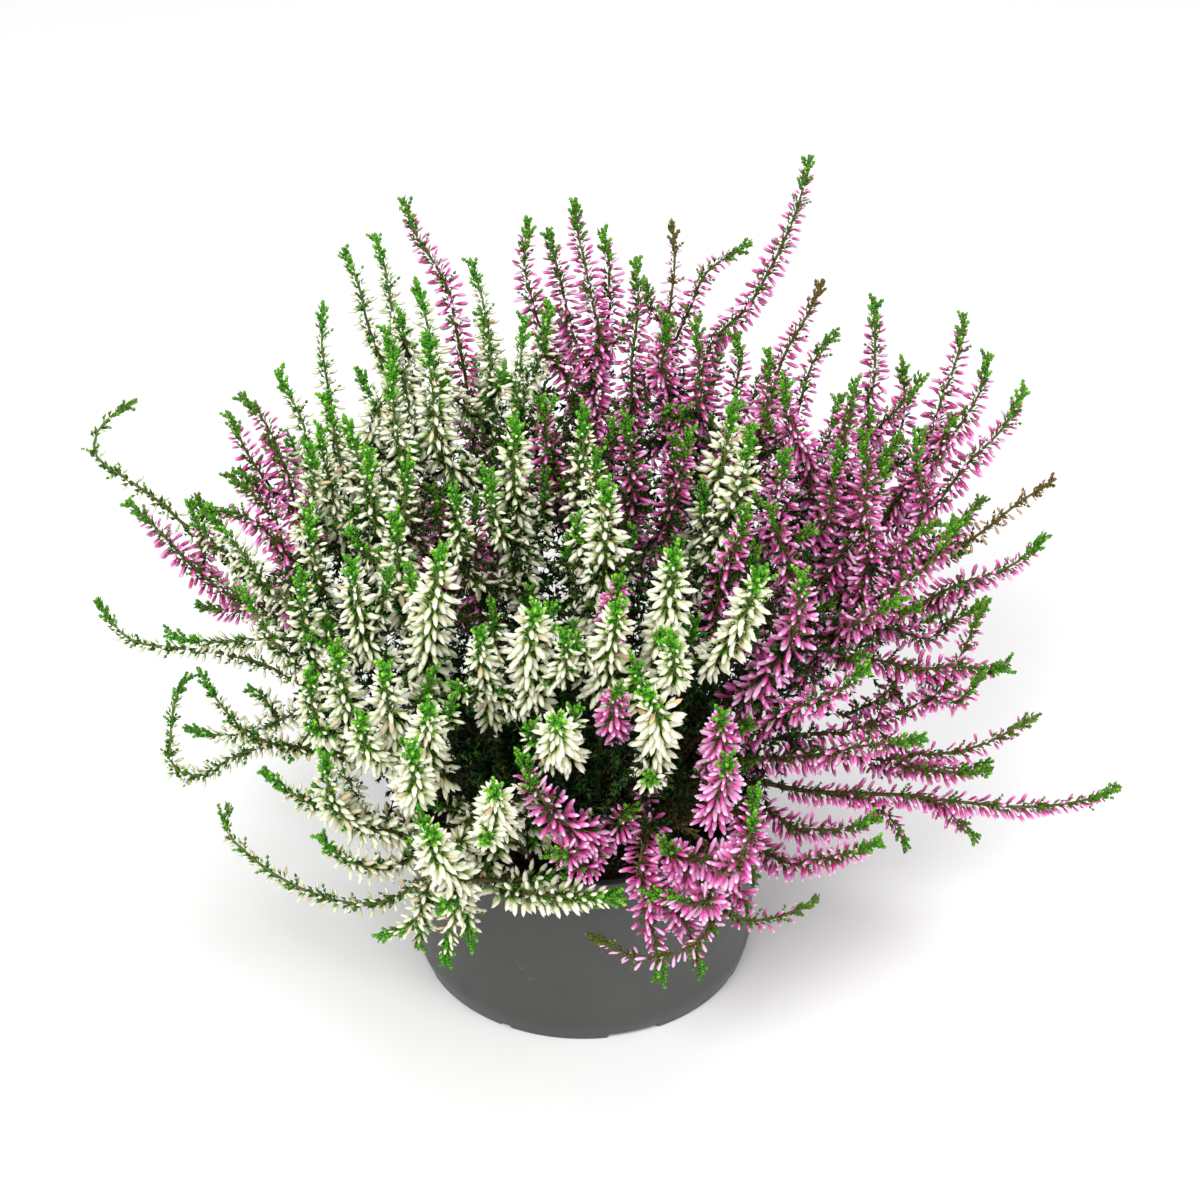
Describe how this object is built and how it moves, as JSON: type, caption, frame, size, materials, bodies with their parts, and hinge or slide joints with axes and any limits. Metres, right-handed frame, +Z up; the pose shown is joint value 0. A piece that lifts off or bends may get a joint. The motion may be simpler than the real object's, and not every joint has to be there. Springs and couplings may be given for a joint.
{
  "type": "potted heather",
  "caption": "Bushy dome of heather, white flower spikes to the left and pink ones to the right, in a low round dark grey nursery pot.",
  "frame": {"origin": "centre of the flat disc in the middle of the pot's underside, on the resting plane", "axes": "+Z up, +X to the right and -Y towards the viewer in the picture"},
  "size_m": [0.3148, 0.2537, 0.2433],
  "materials": {
    "pot_plastic": "moulded dark grey plastic, lightly scuffed",
    "soil": "moist dark peat with bark crumbs",
    "white_spray": "ivory closed buds on green leafy stems",
    "pink_spray": "magenta closed buds on green leafy stems"
  },
  "bodies": {
    "root": {"pot": "pot_plastic", "soil": "soil", "white_01": "white_spray", "white_02": "white_spray", "white_03": "white_spray", "white_04": "white_spray", "white_05": "white_spray", "white_06": "white_spray", "white_07": "white_spray", "white_08": "white_spray", "white_09": "white_spray", "white_10": "white_spray", "white_11": "white_spray", "white_12": "white_spray", "white_13": "white_spray", "white_14": "white_spray", "white_15": "white_spray", "white_16": "white_spray", "white_17": "white_spray", "white_18": "white_spray", "white_19": "white_spray", "white_20": "white_spray", "white_21": "white_spray", "white_22": "white_spray", "white_far_06": "white_spray", "white_far_07": "white_spray", "white_far_08": "white_spray", "white_far_09": "white_spray", "pink_01": "pink_spray", "pink_02": "pink_spray", "pink_03": "pink_spray", "pink_04": "pink_spray", "pink_05": "pink_spray", "pink_06": "pink_spray", "pink_07": "pink_spray", "pink_08": "pink_spray", "pink_09": "pink_spray", "pink_10": "pink_spray", "pink_11": "pink_spray", "pink_12": "pink_spray", "pink_13": "pink_spray", "pink_14": "pink_spray", "pink_15": "pink_spray", "pink_16": "pink_spray", "pink_17": "pink_spray", "pink_18": "pink_spray", "pink_19": "pink_spray", "pink_20": "pink_spray", "pink_21": "pink_spray", "pink_22": "pink_spray", "pink_23": "pink_spray", "pink_24": "pink_spray", "pink_25": "pink_spray", "pink_26": "pink_spray", "pink_27": "pink_spray", "pink_far_01": "pink_spray", "pink_far_02": "pink_spray", "pink_far_03": "pink_spray", "pink_far_04": "pink_spray", "pink_far_05": "pink_spray"}
  },
  "joints": []
}
